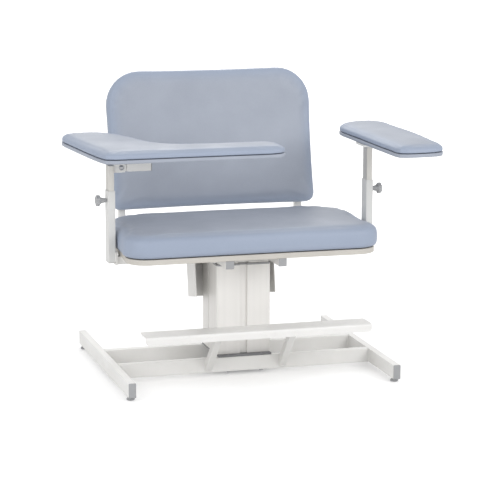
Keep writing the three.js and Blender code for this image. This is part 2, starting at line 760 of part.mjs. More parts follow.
// Clamp knob along +Z: its stud starts at the origin, then the tapered hub and the lobed head.
function clampKnob() {
  const hubFoot = (tubeWide - postWide) / 2 - runningGap + hubGap;
  const headFoot = hubFoot + hubLong;
  const profile = [
    [0, 0], [studRadius, 0], [studRadius, hubFoot], [hubTipRadius, hubFoot],
    [hubRootRadius, headFoot + knobRound], [0, headFoot + knobRound],
  ];
  const points = profile.map(([radius, height]) => new THREE.Vector2(radius, height));
  const shaft = new THREE.LatheGeometry(points, roundFacets).rotateX(quarterTurn);
  const head = new THREE.Shape();
  const steps = stepsPerLobe * knobLobes;
  for (let step = 0; step < steps; step += 1) {
    const angle = 4 * quarterTurn * step / steps;
    const radius = knobRadius + knobLobe * Math.cos(knobLobes * angle);
    const [x, y] = [radius * Math.cos(angle), radius * Math.sin(angle)];
    if (step === 0) head.moveTo(x, y);
    else head.lineTo(x, y);
  }
  return join(shaft, extrudeRounded(head, knobThick, knobRound).translate(0, 0, headFoot));
}

// Pad plate: welded to what carries the pad, and screwed up into the pad's board.
function padPlate(long) {
  const shape = roundedRectangle(padPlateWide, long, padPlateCorner);
  const x = padPlateWide / 2 - screwEdge;
  const y = long / 2 - screwEdge;
  for (const [holeX, holeY] of [[x, y], [-x, y], [-x, -y], [x, -y]]) {
    shape.holes.push(roundHole(holeX, holeY, screwRadius));
  }
  return extrude(shape, padPlateThick);
}

function padBoard(outline) {
  return extrudeRounded(new THREE.Shape(insetOutline(outline, padBoardInset)), padBoardThick, boardRound);
}

// Straight pad's outline, from its front inner corner round: shares of its width and its length.
const straightPadShares = [
  [0.039, 0.09], [0.046, 0.041], [0.082, 0.013], [0.179, 0.001], [0.444, 0], [0.71, 0.006], [0.841, 0.024],
  [0.918, 0.069], [0.957, 0.152], [0.986, 0.278], [1, 0.418], [1, 0.558], [0.99, 0.67], [0.976, 0.796],
  [0.952, 0.894], [0.884, 0.952], [0.768, 0.986], [0.614, 1], [0.444, 0.994], [0.261, 0.966],
  [0.106, 0.922], [0.024, 0.873], [0, 0.824], [0.005, 0.642], [0.019, 0.362],
];

// Right arm: the sliding post, its plate, the board and the straight pad.
function addRightArm() {
  const postFoot = sleeveTop - postInSleeve;
  const postTop = padUnderside - padPlateThick;
  const post = boxTube(postWide, postDeep, postWall, postTop - postFoot);
  addPiece('right_arm_post', post, brightSteel, [armX, armY, postFoot]);
  addPiece('right_pad_plate', padPlate(padPlateLong), palePaint, [armX, armY, postTop]);
  const outline = freeOutline(straightPadShares, straightPadWide, straightPadLong);
  const corner = [straightPadReach - straightPadWide, straightPadFrontY];
  addPiece('right_pad_board', padBoard(outline), blueVinyl, [...corner, padUnderside]);
  addPiece('right_arm_pad', armPad(outline), blueVinyl, [...corner, padUnderside + padBoardThick + weldGap]);
}

// L-shaped pad's outline, from its front outer corner round: shares of its width and its length.
const cornerPadShares = [
  [0.075, 0.026], [0.094, 0.005], [0.135, 0], [0.279, 0], [0.496, 0], [0.713, 0], [0.887, 0],
  [0.948, 0.007], [0.983, 0.035], [0.999, 0.084], [1, 0.148], [0.997, 0.23], [0.98, 0.271], [0.945, 0.291],
  [0.771, 0.293], [0.612, 0.297], [0.533, 0.311], [0.47, 0.344], [0.424, 0.393], [0.395, 0.454],
  [0.375, 0.53], [0.352, 0.639], [0.326, 0.749], [0.294, 0.849], [0.259, 0.922], [0.219, 0.969],
  [0.175, 0.993], [0.123, 1], [0.068, 0.995], [0.023, 0.971], [0.001, 0.916], [0, 0.821], [0.014, 0.621],
  [0.041, 0.275], [0.064, 0.075],
];

// Left arm: the sliding post with the hinge bracket, and the flip-up arm that turns on its bolt.
function addLeftArm() {
  const pivot = { x: -armX + pivotInboard, z: padUnderside - pivotBelowPad };
  const postFoot = sleeveTop - postInSleeve;
  const postLong = pivot.z + postTopAbovePivot - postFoot;
  const post = closedTube(postWide, postDeep, postWall, postLong);
  addPiece('left_arm_post', post, brightSteel, [-armX, armY, postFoot]);
  addPiece('hinge_bracket', hingeBracket(), palePaint, [pivot.x, armY, pivot.z]);
  addPiece('hinge_bolt', hingeBolt(), brightSteel, [pivot.x, armY, pivot.z]);
  addPiece('flip_arm_bar', flipBar(), palePaint, [pivot.x, armY, pivot.z]);
  const barEnd = pivot.x + barStart + barLong;
  const barMiddle = padUnderside - padPlateThick - flipBarHigh / 2;
  const cap = endCap(flipBarHigh, tubeWide, tubeWall).rotateY(quarterTurn);
  addPiece('flip_bar_cap', cap, blackPlastic, [barEnd, armY, barMiddle]);
  const plateX = pivot.x + barStart - barEndPlate + flipPlateLong / 2;
  const plate = padPlate(flipPlateLong).rotateZ(quarterTurn);
  addPiece('flip_pad_plate', plate, palePaint, [plateX, armY, padUnderside - padPlateThick]);
  const outline = freeOutline(cornerPadShares, cornerPadWide, cornerPadLong);
  const corner = [-cornerPadReach, cornerPadFrontY];
  addPiece('flip_pad_board', padBoard(outline), blueVinyl, [...corner, padUnderside]);
  addPiece('flip_arm_pad', armPad(outline), blueVinyl, [...corner, padUnderside + padBoardThick + weldGap]);
}

// Hinge bracket about the pivot: a plate on the post, two ears and the floor that the tongue rests on.
function hingeBracket() {
  const postFace = -(pivotInboard - postWide / 2 - weldGap);
  const earGap = tongueThick + 2 * runningGap;
  const halfDeep = earGap / 2 + earThick;
  const shoulder = earRadius - postTopAbovePivot;
  const plate = box([postFace, -halfDeep, -earRadius], [postFace + hingePlateThick, halfDeep, shoulder]);
  const ear = new THREE.Shape();
  ear.moveTo(postFace, -earRadius);
  ear.lineTo(0, -earRadius);
  ear.absarc(0, 0, earRadius, -quarterTurn, quarterTurn, false);
  ear.lineTo(postFace + hingePlateThick, earRadius);
  ear.lineTo(postFace, shoulder);
  ear.holes.push(roundHole(0, 0, pivotBoltRadius + runningGap));
  const earAt = (y) => extrude(ear, earThick, earFacets).rotateX(quarterTurn).translate(0, y, 0);
  const ears = [-halfDeep + earThick, halfDeep].map(earAt);
  const floorTop = -tongueRadius - runningGap;
  const floorCorner = [postFace, -earGap / 2, floorTop - hingeFloorThick];
  const floor = box(floorCorner, [tongueRadius, earGap / 2, floorTop]);
  return join(plate, ...ears, floor);
}

// Pivot bolt along Y with a domed head in front and a nut behind.
function hingeBolt() {
  const halfDeep = tongueThick / 2 + runningGap + earThick;
  const shankLong = 2 * halfDeep + nutThick;
  const profile = [
    [0, -boltHeadThick], [boltHeadFlat, -boltHeadThick], [boltHeadRadius, -boltHeadRim],
    [boltHeadRadius, 0], [pivotBoltRadius, 0], [pivotBoltRadius, shankLong], [0, shankLong],
  ];
  const points = profile.map(([radius, height]) => new THREE.Vector2(radius, height));
  const bolt = new THREE.LatheGeometry(points, roundFacets).translate(0, -halfDeep - weldGap, 0);
  const nut = new THREE.CylinderGeometry(nutRadius, nutRadius, nutThick, hexagonSides);
  nut.translate(0, halfDeep + weldGap + nutThick / 2, 0);
  return join(bolt, nut);
}

// Flip bar about the pivot: a tongue between the ears, an end plate and a short tube on edge.
function flipBar() {
  const barTop = pivotBelowPad - padPlateThick;
  const tongueShape = new THREE.Shape();
  tongueShape.moveTo(barStart, -tongueRadius);
  tongueShape.lineTo(barStart, tongueRadius);
  tongueShape.absarc(0, 0, tongueRadius, quarterTurn, 3 * quarterTurn, false);
  tongueShape.holes.push(roundHole(0, 0, pivotBoltRadius + runningGap));
  const tongue = extrude(tongueShape, tongueThick, earFacets).rotateX(quarterTurn);
  tongue.translate(0, tongueThick / 2, 0);
  const plateStart = barStart - barEndPlate;
  const endPlate = box([plateStart, -tubeWide / 2, -tongueRadius], [barStart, tubeWide / 2, barTop]);
  const tube = boxTube(flipBarHigh, tubeWide, tubeWall, barLong).rotateY(quarterTurn);
  tube.translate(barStart, 0, barTop - flipBarHigh / 2);
  return join(tongue, endPlate, tube);
}

addFloorFrame();
addFootrest();
addColumn();
addActuator();
addSeatFrame();
addSeat();
addBack();
addSleeve(-1, 'left');
addSleeve(1, 'right');
addRightArm();
addLeftArm();

// The chair's origin lies on the floor, under the middle of everything it takes up.
chair.updateMatrixWorld(true);
const outside = new THREE.Box3().setFromObject(chair, true);
const centre = outside.getCenter(new THREE.Vector3());
chair.position.set(-centre.x, -centre.y, -outside.min.z);
chair.updateMatrixWorld(true);

export default chair;
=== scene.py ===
"""Blood-draw chair: upholstery, hardware and finishes over its frame.

Metres, +Z up, the sitter faces -Y. Left is the side of negative X.
"""
import math

import bmesh
import bpy
import numpy as np
from mathutils import Matrix, Vector, kdtree, noise


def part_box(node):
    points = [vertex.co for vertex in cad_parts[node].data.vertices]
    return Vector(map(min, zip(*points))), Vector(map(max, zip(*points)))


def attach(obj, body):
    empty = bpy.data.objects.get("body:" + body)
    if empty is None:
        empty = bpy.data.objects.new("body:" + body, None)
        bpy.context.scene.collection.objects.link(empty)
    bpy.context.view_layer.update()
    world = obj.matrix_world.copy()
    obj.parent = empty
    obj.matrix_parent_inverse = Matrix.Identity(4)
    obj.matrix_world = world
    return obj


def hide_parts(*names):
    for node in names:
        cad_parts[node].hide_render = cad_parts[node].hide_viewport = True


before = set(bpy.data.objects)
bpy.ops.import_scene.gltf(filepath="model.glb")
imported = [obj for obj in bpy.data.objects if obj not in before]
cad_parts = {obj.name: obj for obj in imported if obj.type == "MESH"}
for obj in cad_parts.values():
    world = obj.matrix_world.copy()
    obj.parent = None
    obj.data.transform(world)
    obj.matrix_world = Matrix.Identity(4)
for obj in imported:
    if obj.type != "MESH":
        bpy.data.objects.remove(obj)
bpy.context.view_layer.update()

up = (0.0, 0.0, 1.0)
back_lean = math.radians(11)
towards_sitter = (0.0, -math.cos(back_lean), math.sin(back_lean))
facing_down = Matrix.Rotation(math.pi, 4, "X")

# Cushions and arm pads
seat_voxel = 0.0075
pad_voxel = 0.005
seat_shrink = 0.002
pad_shrink = 0.001
seat_swell_limit = 0.008
pad_swell_limit = 0.0025
inward_limit = 0.0008
slide_share = 0.3
smallest_move = 1e-9
foot_skin = 0.0015
smoothing_strength = 0.5
seat_fill = 0.8
pad_fill = 0.9

# The cloth that is blown up
cover_pressure = 4.0
cover_quality = 6
cover_mass = 0.3
cover_stretch_stiffness = 20
cover_shear_stiffness = 8
cover_bending_stiffness = 4
settle_frames = 20

# Pull folds at rounded corners, and unevenness of the foam
fold_depth = 0.0006
folds_per_turn = 34
fold_wander = 0.7
fold_wanders_per_turn = 9
fold_corner_sharpness = 1.6
fold_side_slope = 1.4
fold_side_start = 0.35
fold_top_share = 0.72
smallest_lean = 1e-6
softness_depth = 0.0009
softness_size = 0.11
softness_slope = 1.5
softness_start = 0.3

# Domed tops and filled feet of the arm pads, and the painted shade at the rims of the cloth
wall_lean = 0.25
pad_dome = 0.003
pad_dome_reach = 0.038
pad_rim_fall = 0.003
pad_rim_reach = 0.015
pad_foot_high = 0.008
pad_foot_bulge = 0.0034
rim_shade_fade = 0.03
rim_shade_strength = 0.7

# Wrapped boards under the arm pads
board_voxel = 0.003
board_edge_high = 0.005
board_edge_bulge = 0.0022

# Finishes
coat_roughness = 0.3
patch_low = 0.3
patch_high = 0.7
grain_cell_scale = 620.0
grain_cell_smoothness = 0.6
grain_cell_reach = 0.7
grain_warp_scale = 260.0
grain_warp_reach = 0.0018
grain_fine_scale = 2200.0
grain_fine_share = 0.25
grain_patch_scale = 7.0
# Darkening of the cloth grain's valleys, a painted shade
grain_valley_shade_mask = 0.22
grain_valley_shade = 0.72
cloth_specular = 0.32
cloth_roughness = (0.46, 0.58)
paint_ripple_scale = 420.0
paint_roughness = (0.34, 0.46)
mould_spark_scale = 1500.0
coat_patch_scale = 9.0
drawn_line_scale = 500.0
drawn_streak_scale = 60.0
scuff_patch_scale = 11.0
scuff_patch_span = (0.48, 0.7)
scuff_line_scale = 160.0
scuff_line_span = (0.5, 0.72)
scuff_line_stretch = (0.35, 1.0, 1.0)
scuff_shade = 0.7
scuff_roughness = 0.25

# Turned and bevelled forms
round_steps = 40
crease_angle = math.radians(35)
square_edge_angle = 1.2
cad_merge_distance = 0.00002
turned_merge_distance = 0.000005

# Clamp knobs: profiles are pairs of radius and height, rings are pairs of radius and drop
knob_lobes = 6
knob_steps_per_lobe = 16
knob_lobe_depth = 0.0018
knob_rim_round = 0.003
knob_rim_angle = 0.9
knob_face_rings = ((0.0108, 0.0), (0.0096, 0.0016), (0.0052, 0.0))
knob_ring_inset = 0.0005
knob_head_thick = 0.015
knob_hub_long = 0.023
knob_hub_profile = (
    (0, 0), (0.006, 0), (0.0071, 0.0009), (0.0078, 0.006), (0.0090, 0.013), (0.0108, 0.0195),
    (0.0132, 0.024), (0, 0.024),
)
stud_radius = 0.004
stud_tip_profile = ((0, 0), (0.0036, 0), (0.004, 0.0005))
stud_overlap = 0.001

# Levelling glides: the rim's profile is measured inwards from the pad's radius
glide_rim_profile = ((0.003, 0), (0.0012, 0.0006), (0, 0.0022), (0, 0.0058), (0.0016, 0.0072))
glide_neck_profile = ((0.0078, 0.0088), (0.0074, 0.0094), (0, 0.0094))
glide_stem_radius = 0.0046
glide_stem_foot = 0.009
glide_nut_radius = 0.0088
glide_nut_high = 0.003
glide_nut_middle = 0.0109
glide_nut_round = 0.0004

# Bolts and screws: the screw head's profile is in shares of its radius and height
washer_radius = 0.0095
washer_thick = 0.0014
washer_foot_round = 0.0003
washer_top_round = 0.0004
hexagon_radius = 0.0074
hexagon_high = 0.0046
hexagon_round = 0.0006
upright_bolt_drops = (0.075, 0.255)
board_screw_edge = 0.058
outrigger_screw_edges = (0.05, 0.19)
pad_plate_screw_edge = 0.012
screw_head_radius = 0.0055
screw_head_high = 0.0022
screw_head_shares = ((1, 0), (1, 0.35), (0.86, 0.8), (0.55, 1))
screw_slot_radius = 0.0022
screw_slot_deep = 0.0012
screw_slot_taper = 0.8

# Welds
fillet_radius = 0.0026
light_fillet_radius = 0.0018
seam_radius = 0.0013
bead_sides = 8
bead_pitch = 0.0034
bead_steps_per_pitch = 3
bead_ripple = 0.12
bead_taper = 0.005
bead_end_share = 0.5
seam_end_gap = 0.0015
end_face_depth = 0.0004

# Camera and light: a lamp is its name, place, size and power
camera_from_floor_frame = Vector((-2.0150, -7.1196, 1.8513))
camera_yaw = math.radians(16.224)
camera_pitch = math.radians(-10.947)
camera_roll = math.radians(0.125)
camera_lens = 151.98
camera_sensor_width = 36.0
lamps = (
    ("key", (2.6, -4.2, 2.7), 2.6, 82.0),
    ("fill", (-3.6, -2.8, 2.0), 2.8, 46.0),
    ("back_light", (0.6, 3.2, 3.0), 2.2, 40.0),
)
lamp_target = Vector((0.0, 0.0, 0.55))
white = (1.0, 1.0, 1.0, 1.0)
world_strength = 0.9
floor_colour = (0.86, 0.86, 0.86, 1.0)
floor_roughness = 0.9
floor_specular = 0.1
floor_lift = 0.2
far_floor_lift = 0.62
near_floor = 1.2
far_floor = 7.0
floor_reach = 30.0


def corners(node):
    """Lowest and highest corner of a CAD node's box."""
    low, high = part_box(node)
    return Vector(low), Vector(high)


def linear_colours(*shades):
    """Linear colours for ones that are written as they look on a screen, from 0 to 255."""
    colours = []
    for shade in shades:
        linear = []
        for value in shade:
            share = value / 255
            linear.append(share / 12.92 if share <= 0.04045 else ((share + 0.055) / 1.055) ** 2.4)
        colours.append((*linear, 1.0))
    return colours


# Node groups

def new_group(name, inputs, outputs):
    """Empty shader node group with float inputs and outputs, and a vector called Place."""
    group = bpy.data.node_groups.new(name, "ShaderNodeTree")
    group.interface.new_socket(name="Place", in_out="INPUT", socket_type="NodeSocketVector")
    for label, value in inputs.items():
        socket = group.interface.new_socket(
            name=label, in_out="INPUT", socket_type="NodeSocketFloat")
        socket.default_value = value
    for label in outputs:
        group.interface.new_socket(name=label, in_out="OUTPUT", socket_type="NodeSocketFloat")
    entry = group.nodes.new("NodeGroupInput")
    leave = group.nodes.new("NodeGroupOutput")
    return group, entry, leave


def noise_node(tree, place, scale, detail, roughness=0.5):
    """Noise over a place, whose scale is a number or another node's output."""
    node = tree.nodes.new("ShaderNodeTexNoise")
    node.inputs["Detail"].default_value = detail
    node.inputs["Roughness"].default_value = roughness
    tree.links.new(place, node.inputs["Vector"])
    if isinstance(scale, float):
        node.inputs["Scale"].default_value = scale
    else:
        tree.links.new(scale, node.inputs["Scale"])
    return node.outputs["Fac"]


def math_node(tree, operation, first, second):
    node = tree.nodes.new("ShaderNodeMath")
    node.operation = operation
    for socket, value in zip(node.inputs, (first, second)):
        if isinstance(value, (int, float)):
            socket.default_value = value
        else:
            tree.links.new(value, socket)
    return node.outputs["Value"]


def range_node(tree, value, from_low, from_high, to_low, to_high):
    """Maps a value from one range to another, held at both ends."""
    node = tree.nodes.new("ShaderNodeMapRange")
    tree.links.new(value, node.inputs["Value"])
    for label, number in (
        ("From Min", from_low), ("From Max", from_high), ("To Min", to_low), ("To Max", to_high),
    ):
        node.inputs[label].default_value = number
    return node.outputs["Result"]


def stretched(tree, place, stretch):
    """Place with each axis scaled, so that a pattern runs long along one of them."""
    node = tree.nodes.new("ShaderNodeMapping")
    node.inputs["Scale"].default_value = stretch
    tree.links.new(place, node.inputs["Vector"])
    return node.outputs["Vector"]


def build_hide_grain():
    """Pebbled grain of coated cloth: raised cells with valleys between them, and slow patches."""
    group, entry, leave = new_group(
        "hide_grain", {"Cell Scale": grain_cell_scale}, ("Height", "Patch"))
    place = entry.outputs["Place"]
    warp = noise_node(group, place, grain_warp_scale, detail=3.0)
    warp = math_node(group, "MULTIPLY", warp, grain_warp_reach)
    spread = group.nodes.new("ShaderNodeCombineXYZ")
    for axis in "XYZ":
        group.links.new(warp, spread.inputs[axis])
    shifted = group.nodes.new("ShaderNodeVectorMath")
    shifted.operation = "ADD"
    group.links.new(place, shifted.inputs[0])
    group.links.new(spread.outputs["Vector"], shifted.inputs[1])
    cells = group.nodes.new("ShaderNodeTexVoronoi")
    cells.feature = "SMOOTH_F1"
    cells.inputs["Smoothness"].default_value = grain_cell_smoothness
    group.links.new(shifted.outputs["Vector"], cells.inputs["Vector"])
    group.links.new(entry.outputs["Cell Scale"], cells.inputs["Scale"])
    raised = range_node(group, cells.outputs["Distance"], 0.0, grain_cell_reach, 1.0, 0.0)
    fine = noise_node(group, place, grain_fine_scale, detail=2.0)
    height = math_node(group, "ADD", raised, math_node(group, "MULTIPLY", fine, grain_fine_share))
    patch = noise_node(group, place, grain_patch_scale, detail=4.0)
    group.links.new(height, leave.inputs["Height"])
    group.links.new(patch, leave.inputs["Patch"])
    return group


def build_coat_ripple():
    """Baked powder coat: a fine orange-peel ripple, and slow patches where it was wiped smooth."""
    group, entry, leave = new_group(
        "coat_ripple", {"Ripple Scale": paint_ripple_scale}, ("Height", "Patch"))
    place = entry.outputs["Place"]
    ripple = noise_node(group, place, entry.outputs["Ripple Scale"], detail=2.0)
    patch = noise_node(group, place, coat_patch_scale, detail=5.0, roughness=0.6)
    group.links.new(ripple, leave.inputs["Height"])
    group.links.new(patch, leave.inputs["Patch"])
    return group


def build_drawn_lines():
    """Long fine lines of drawn or brushed metal, along the axis that its place is stretched by."""
    group, entry, leave = new_group(
        "drawn_lines", {"Line Scale": drawn_line_scale}, ("Height", "Streak"))
    place = entry.outputs["Place"]
    lines = noise_node(group, place, entry.outputs["Line Scale"], detail=3.0, roughness=0.6)
    streak = noise_node(group, place, drawn_streak_scale, detail=3.0)
    group.links.new(lines, leave.inputs["Height"])
    group.links.new(streak, leave.inputs["Streak"])
    return group


def build_scuffs():
    """Shoe scuffs and rubbed patches, sparse and broken up."""
    group, entry, leave = new_group("scuffs", {"Amount": 0.5}, ("Mask",))
    place = entry.outputs["Place"]
    lines_place = stretched(group, place, scuff_line_stretch)
    broad = noise_node(group, place, scuff_patch_scale, detail=4.0, roughness=0.6)
    fine = noise_node(group, lines_place, scuff_line_scale, detail=5.0, roughness=0.7)
    both = math_node(group, "MULTIPLY", range_node(group, broad, *scuff_patch_span, 0.0, 1.0),
                     range_node(group, fine, *scuff_line_span, 0.0, 1.0))
    mask = math_node(group, "MULTIPLY", both, entry.outputs["Amount"])
    group.links.new(mask, leave.inputs["Mask"])
    return group


groups = {
    "hide_grain": build_hide_grain(),
    "coat_ripple": build_coat_ripple(),
    "drawn_lines": build_drawn_lines(),
    "scuffs": build_scuffs(),
}


# Materials: colours are given as they look on a screen

def start_material(name, metallic=0.0, coat=0.0):
    """Material with its shader, and the object's own coordinates to place patterns by."""
    material = bpy.data.materials.new(name)
    material.use_nodes = True
    tree = material.node_tree
    shader = tree.nodes["Principled BSDF"]
    shader.inputs["Metallic"].default_value = metallic
    shader.inputs["Coat Weight"].default_value = coat
    shader.inputs["Coat Roughness"].default_value = coat_roughness
    place = tree.nodes.new("ShaderNodeTexCoord").outputs["Object"]
    return material, tree, shader, place


def place_group(tree, name, place, **values):
    """A node group in a material, with values for its inputs."""
    node = tree.nodes.new("ShaderNodeGroup")
    node.node_tree = groups[name]
    tree.links.new(place, node.inputs["Place"])
    for label, value in values.items():
        node.inputs[label.replace("_", " ")].default_value = value
    return node


def patchy(tree, patch, low=0.0, high=1.0):
    """Spreads the middle of a slow noise over a range."""
    return range_node(tree, patch, patch_low, patch_high, low, high)


def mix_colours(tree, mask, first, second):
    node = tree.nodes.new("ShaderNodeMix")
    node.data_type = "RGBA"
    tree.links.new(mask, node.inputs["Factor"])
    for socket, value in ((node.inputs[6], first), (node.inputs[7], second)):
        if isinstance(value, tuple):
            socket.default_value = value
        else:
            tree.links.new(value, socket)
    return node.outputs[2]


def shaded(colour, share):
    return tuple(value * share for value in colour[:3]) + (1.0,)


def bump(tree, shader, height, strength, distance):
    node = tree.nodes.new("ShaderNodeBump")
    node.inputs["Strength"].default_value = strength
    node.inputs["Distance"].default_value = distance
    tree.links.new(height, node.inputs["Height"])
    tree.links.new(node.outputs["Normal"], shader.inputs["Normal"])


def coated_cloth(name, light, dark, rim_shade_colour):
    """Coated cloth of the cushions and the arm pads, painted bluer and darker over their rims as
    shade.
    """
    light, dark, rim_shade_colour = linear_colours(light, dark, rim_shade_colour)
    material, tree, shader, place = start_material(name, coat=0.03)
    shader.inputs["Specular IOR Level"].default_value = cloth_specular
    grain = place_group(tree, "hide_grain", place, Cell_Scale=grain_cell_scale)
    patch = grain.outputs["Patch"]
    # Painted shade: the rim attribute mixes in a bluer, darker colour where the cloth turns over
    # the rims
    rim = tree.nodes.new("ShaderNodeAttribute")
    rim.attribute_name = "rim"
    cloth_tone = mix_colours(tree, patchy(tree, patch), light, dark)
    cloth_tone = mix_colours(tree, rim.outputs["Fac"], cloth_tone, rim_shade_colour)
    # Painted shade: the grain's valleys are darkened
    valley_shade_mask = range_node(tree, grain.outputs["Height"], 0.1, 0.9, grain_valley_shade_mask, 0.0)
    cloth = mix_colours(tree, valley_shade_mask, cloth_tone, shaded(dark, grain_valley_shade))
    tree.links.new(cloth, shader.inputs["Base Color"])
    tree.links.new(patchy(tree, patch, *cloth_roughness), shader.inputs["Roughness"])
    bump(tree, shader, grain.outputs["Height"], strength=0.35, distance=0.0003)
    return material


def baked_paint(name, light, dark, scuffed=0.0):
    """Pale baked paint of the frame, scuffed where feet rest."""
    light, dark = linear_colours(light, dark)
    material, tree, shader, place = start_material(name, coat=0.15)
    ripple = place_group(tree, "coat_ripple", place, Ripple_Scale=paint_ripple_scale)
    patch = ripple.outputs["Patch"]
    painted = mix_colours(tree, patchy(tree, patch), light, dark)
    roughness = patchy(tree, patch, *paint_roughness)
    if scuffed:
        marks = place_group(tree, "scuffs", place, Amount=scuffed).outputs["Mask"]
        painted = mix_colours(tree, marks, painted, shaded(dark, scuff_shade))
        rougher = math_node(tree, "MULTIPLY", marks, scuff_roughness)
        roughness = math_node(tree, "ADD", roughness, rougher)
    tree.links.new(painted, shader.inputs["Base Color"])
    tree.links.new(roughness, shader.inputs["Roughness"])
    bump(tree, shader, ripple.outputs["Height"], strength=0.2, distance=0.0002)
    return material


def drawn_metal(name, light, dark, metallic, lengthwise, roughness):
    """Metal whose fine lines run along Z, the longer the smaller the lengthwise scale is."""
    light, dark = linear_colours(light, dark)
    material, tree, shader, place = start_material(name, metallic)
    along = stretched(tree, place, (1.0, 1.0, lengthwise))
    lines = place_group(tree, "drawn_lines", along, Line_Scale=drawn_line_scale)
    streak = lines.outputs["Streak"]
    drawn = mix_colours(tree, patchy(tree, streak), light, dark)
    tree.links.new(drawn, shader.inputs["Base Color"])
    tree.links.new(patchy(tree, streak, *roughness), shader.inputs["Roughness"])
    bump(tree, shader, lines.outputs["Height"], strength=0.12, distance=0.0001)
    return material


def moulded_plastic(name, light, dark, roughness):
    """Moulded plastic, or a dull even coat, with the fine spark finish of a mould."""
    light, dark = linear_colours(light, dark)
    material, tree, shader, place = start_material(name)
    spark = place_group(tree, "coat_ripple", place, Ripple_Scale=mould_spark_scale)
    patch = spark.outputs["Patch"]
    moulded = mix_colours(tree, patchy(tree, patch), light, dark)
    tree.links.new(moulded, shader.inputs["Base Color"])
    tree.links.new(patchy(tree, patch, *roughness), shader.inputs["Roughness"])
    bump(tree, shader, spark.outputs["Height"], strength=0.25, distance=0.00015)
    return material


# The last colour is the painted shade at the rims of the cushions and pads
upholstery = coated_cloth("slate_blue_cloth", (162, 168, 180), (155, 161, 173), (147, 160, 182))
paint = baked_paint("pale_baked_paint", (228, 227, 225), (222, 221, 218))
# The tread's paint is a little darker than the frame's as painted shade, against the light on its
# lip; its scuffs are wear
shaded_tread_paint = baked_paint("scuffed_and_shaded_tread_paint", (225, 224, 222), (219, 218, 216), scuffed=0.4)
sleeve_paint = baked_paint("grey_sleeve_paint", (209, 209, 207), (203, 203, 201))
board_edge = moulded_plastic(
    "cream_board", (193, 189, 182), (185, 181, 174), roughness=(0.42, 0.55))
cap_plastic = moulded_plastic(
    "grey_cap_plastic", (156, 157, 159), (148, 149, 151), roughness=(0.5, 0.62))
knob_plastic = moulded_plastic(
    "grey_knob_plastic", (163, 164, 166), (155, 156, 158), roughness=(0.45, 0.58))
pale_plastic = moulded_plastic(
    "pale_cap_plastic", (208, 207, 204), (200, 199, 196), roughness=(0.48, 0.6))
# Painted shadow: the foot plate is dark grey so that a dark line shows under the column's foot,
# where the shadow gap is
foot_plate_shadow_grey = moulded_plastic(
    "foot_plate_shadow_grey", (128, 129, 132), (119, 120, 123), roughness=(0.5, 0.65))
actuator_finish = moulded_plastic(
    "dark_actuator_finish", (72, 73, 76), (64, 65, 68), roughness=(0.5, 0.65))
column_skin = drawn_metal(
    "column_extrusion", (231, 229, 226), (227, 225, 222),
    metallic=0.2, lengthwise=0.012, roughness=(0.38, 0.46))
post_metal = drawn_metal(
    "drawn_post_steel", (208, 206, 201), (197, 195, 190),
    metallic=0.45, lengthwise=0.015, roughness=(0.34, 0.46))
plated_steel = drawn_metal(
    "plated_steel", (186, 187, 189), (170, 171, 174),
    metallic=0.9, lengthwise=0.3, roughness=(0.28, 0.4))

# The last words here that are in a node's name choose its finish
finish_of_node = {
    "cap": cap_plastic,
    "glide": cap_plastic,
    "sleeve_cap": pale_plastic,
    "arm_sleeve": sleeve_paint,
    "column_collar": cap_plastic,
    "column_foot_plate": foot_plate_shadow_grey,
    "lift_actuator": actuator_finish,
    "column_outer_stage": column_skin,
    "column_inner_stage": column_skin,
    "footrest_tread": shaded_tread_paint,
    "arm_post": post_metal,
    "bolt": plated_steel,
    "actuator_rod": plated_steel,
    "knob": knob_plastic,
    "seat_board": board_edge,
    "back_board": board_edge,
    "pad_board": upholstery,
    "arm_pad": upholstery,
    "cushion": upholstery,
}

for node_name, node_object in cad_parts.items():
    chosen = paint
    for words, finish in finish_of_node.items():
        if words in node_name:
            chosen = finish
    node_object.data.materials.clear()
    node_object.data.materials.append(chosen)


# Piece making

def shade_smooth(mesh):
    for face in mesh.polygons:
        face.use_smooth = True


def add_piece(name, shape, material, body):
    """Turns a bmesh into a named piece that rides on a body."""
    mesh = bpy.data.meshes.new(name)
    shape.to_mesh(mesh)
    shape.free()
    mesh.materials.append(material)
    shade_smooth(mesh)
    piece = bpy.data.objects.new(name, mesh)
    bpy.context.scene.collection.objects.link(piece)
    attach(piece, body)
    return piece


def crease_sharp_edges(piece):
    """Keeps a smooth piece's true corners crisp."""
    shape = bmesh.new()
    shape.from_mesh(piece.data)
    for edge in shape.edges:
        if len(edge.link_faces) == 2 and edge.calc_face_angle(0.0) > crease_angle:
            edge.smooth = False
    shape.to_mesh(piece.data)
    shape.free()


def merged_copy(node):
    """Bmesh of a CAD node with its loose triangles joined up."""
    shape = bmesh.new()
    shape.from_mesh(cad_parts[node].data)
    bmesh.ops.remove_doubles(shape, verts=shape.verts, dist=cad_merge_distance)
    return shape


def baked_mesh(piece):
    """The piece's mesh with its modifiers applied."""
    graph = bpy.context.evaluated_depsgraph_get()
    return bpy.data.meshes.new_from_object(piece.evaluated_get(graph))


def apply_modifiers(piece):
    mesh = baked_mesh(piece)
    old = piece.data
    piece.modifiers.clear()
    piece.data = mesh
    bpy.data.meshes.remove(old)


def vertex_vectors(mesh, kind):
    """Array of every vertex's place, with the kind co, or of its normal."""
    values = np.zeros(len(mesh.vertices) * 3, np.float64)
    mesh.vertices.foreach_get(kind, values)
    return values.reshape(-1, 3)


def set_places(mesh, places):
    mesh.vertices.foreach_set("co", places.astype(np.float64).ravel())
    mesh.update()


def remesh(piece, voxel):
    modifier = piece.modifiers.new("even_mesh", "REMESH")
    modifier.mode = "VOXEL"
    modifier.voxel_size = voxel
    apply_modifiers(piece)


